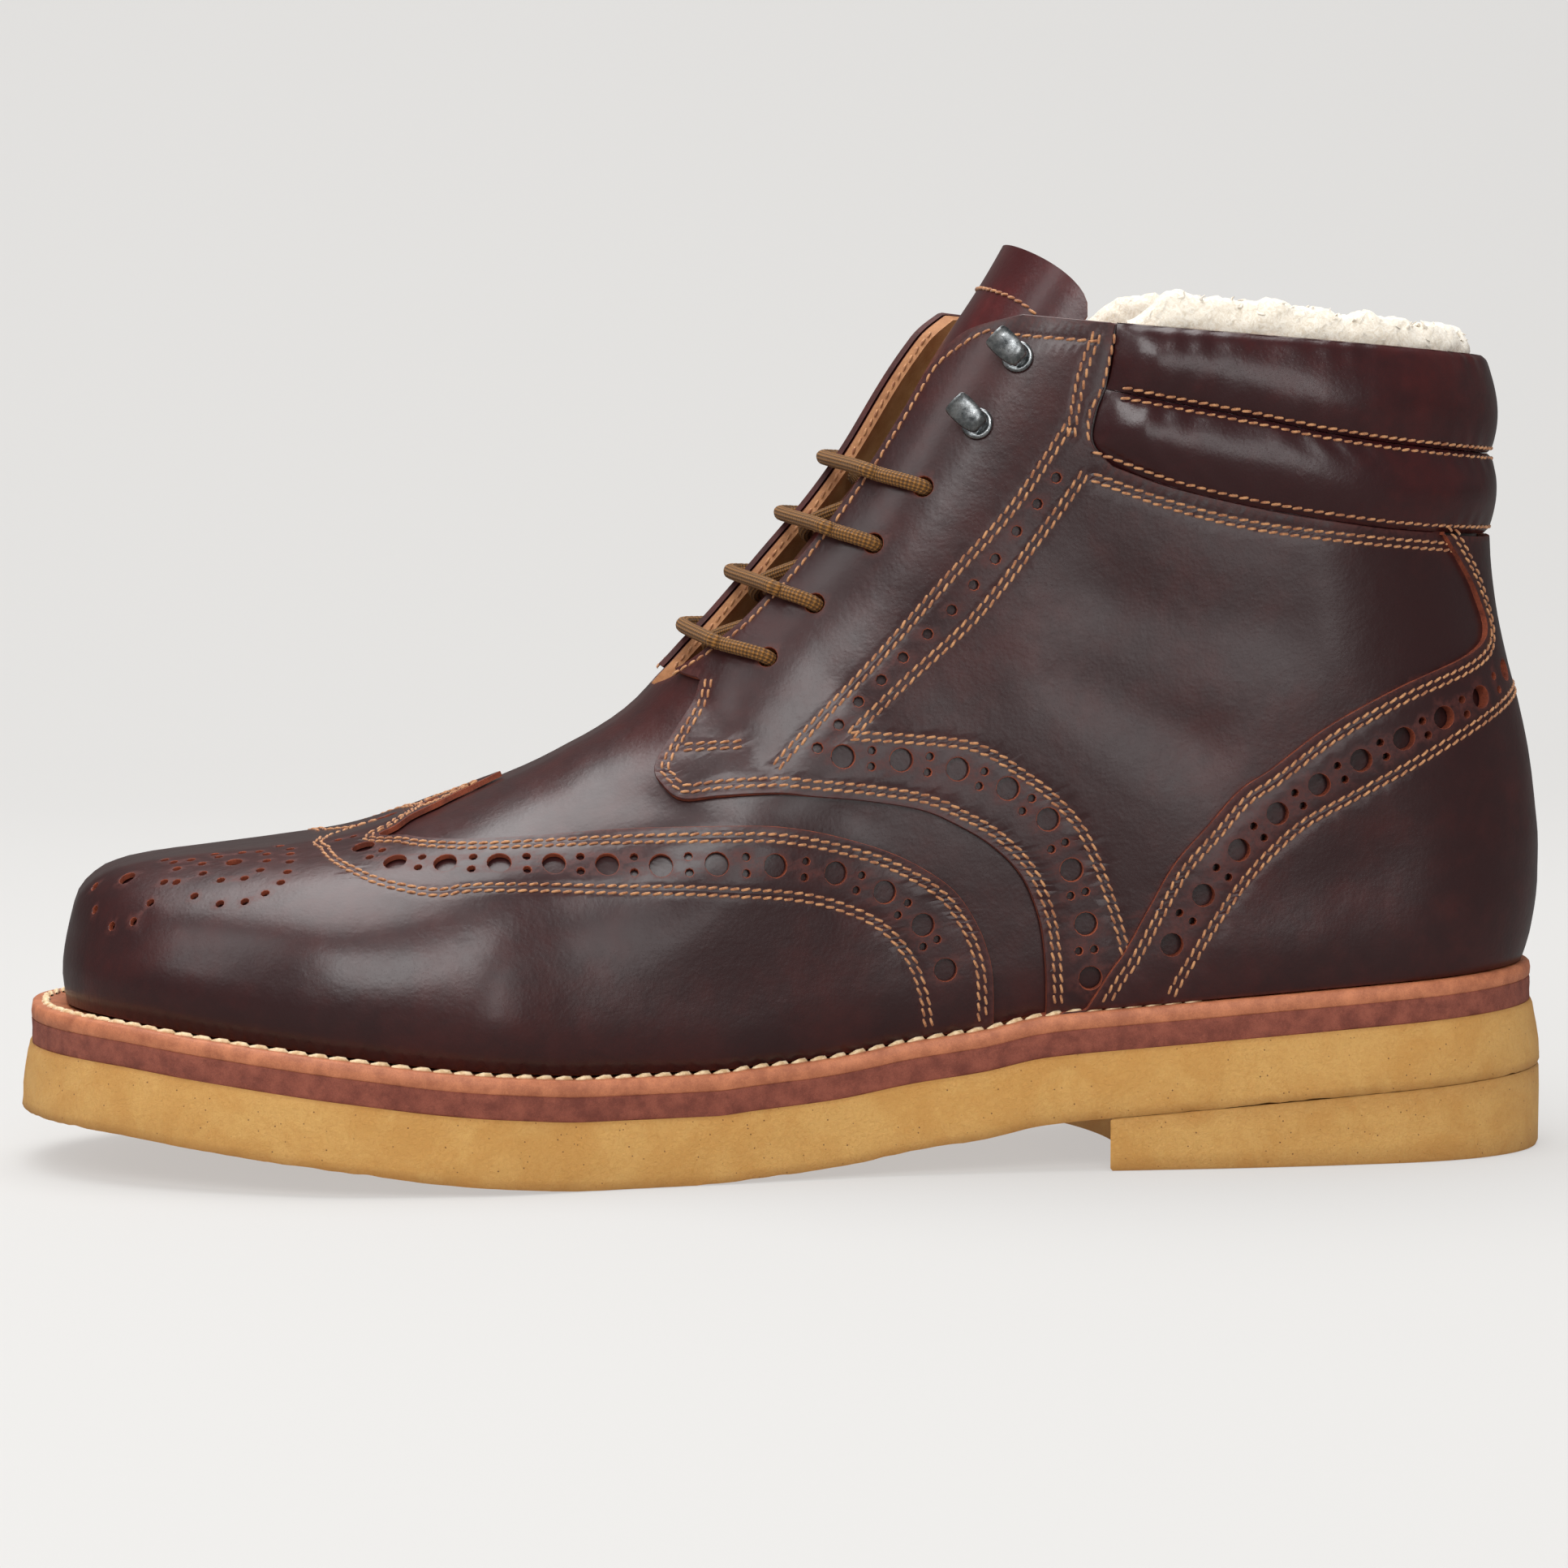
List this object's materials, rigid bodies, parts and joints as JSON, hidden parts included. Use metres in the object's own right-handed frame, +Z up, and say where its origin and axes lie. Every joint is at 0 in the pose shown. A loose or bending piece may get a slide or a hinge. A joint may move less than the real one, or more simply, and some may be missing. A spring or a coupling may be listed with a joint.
{
  "type": "brogue ankle boot",
  "caption": "Left lace-up brogue ankle boot with a wing cap, padded collar, shearling lining, stitched welt and crepe sole with a low heel lift.",
  "frame": {"origin": "floor point under the middle of the sole's outline", "axes": "+Z up, toe towards -X, heel towards +X, lateral side towards -Y, medial side towards +Y"},
  "size_m": [0.3078, 0.1116, 0.1823],
  "materials": {
    "crepe": "honey-coloured crepe, slightly rough and speckled",
    "midsole_leather": "reddish-brown stacked edge, lightly fuzzed",
    "welt_leather": "orange-tan waxed edge",
    "lining_leather": "natural tan, matt",
    "upper_leather": "burgundy-brown pull-up leather, polished",
    "shearling": "cream curly pile",
    "lace_cord": "gold-tan braided round cord",
    "gunmetal": "dark gunmetal, satin"
  },
  "bodies": {
    "root": {"outsole": "crepe", "heel_lift": "crepe", "midsole": "midsole_leather", "welt": "welt_leather", "insole": "lining_leather", "upper": "upper_leather", "wing_cap": "upper_leather", "quarter_lateral": "upper_leather", "quarter_medial": "upper_leather", "counter": "upper_leather", "collar_lower_roll": "upper_leather", "collar_upper_roll": "upper_leather", "tongue": "upper_leather", "fur_lining": "shearling", "lace": "lace_cord", "hook_1_lateral": "gunmetal", "hook_1_medial": "gunmetal", "hook_2_lateral": "gunmetal", "hook_2_medial": "gunmetal"}
  },
  "joints": []
}
